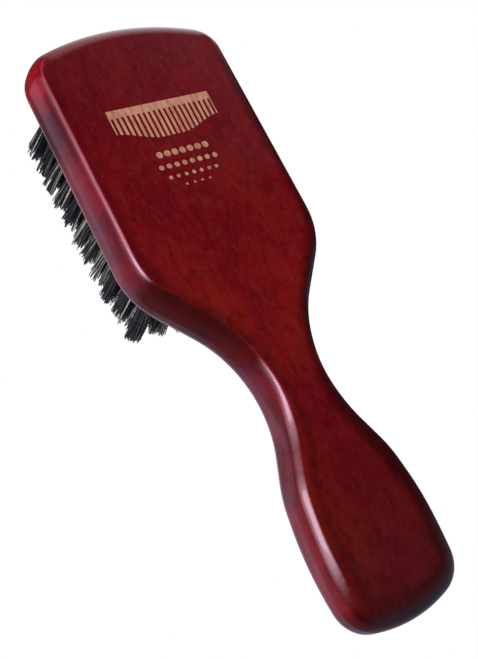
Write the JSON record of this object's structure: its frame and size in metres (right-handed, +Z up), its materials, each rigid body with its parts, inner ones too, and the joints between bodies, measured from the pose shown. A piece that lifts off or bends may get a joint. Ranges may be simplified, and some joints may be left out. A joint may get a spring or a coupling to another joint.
{
  "type": "fade brush",
  "caption": "Barber's fade brush: a one-piece lacquered wooden paddle with a waisted handle and rows of dense bristle tufts held in blind holes by flat wire anchors.",
  "frame": {"origin": "under the middle of the brush, in the plane of the bristle tips, on the centre line", "axes": "+Z up, out of the flat back; +Y from the handle to the head; +X across the head"},
  "size_m": [0.0604, 0.175, 0.033],
  "materials": {
    "lacquered_wood": "deep red stain under a glossy clear lacquer",
    "bristle": "black bristle mixed with grey and cream strands",
    "anchor_wire": "flat drawn wire"
  },
  "bodies": {
    "root": {"wooden_body": "lacquered_wood", "tuft_row_01": "bristle", "tuft_row_02": "bristle", "tuft_row_03": "bristle", "tuft_row_04": "bristle", "tuft_row_05": "bristle", "tuft_row_06": "bristle", "tuft_row_07": "bristle", "tuft_row_08": "bristle", "tuft_row_09": "bristle", "tuft_row_10": "bristle", "tuft_row_11": "bristle", "anchor_row_01": "anchor_wire", "anchor_row_02": "anchor_wire", "anchor_row_03": "anchor_wire", "anchor_row_04": "anchor_wire", "anchor_row_05": "anchor_wire", "anchor_row_06": "anchor_wire", "anchor_row_07": "anchor_wire", "anchor_row_08": "anchor_wire", "anchor_row_09": "anchor_wire", "anchor_row_10": "anchor_wire", "anchor_row_11": "anchor_wire"}
  },
  "joints": []
}
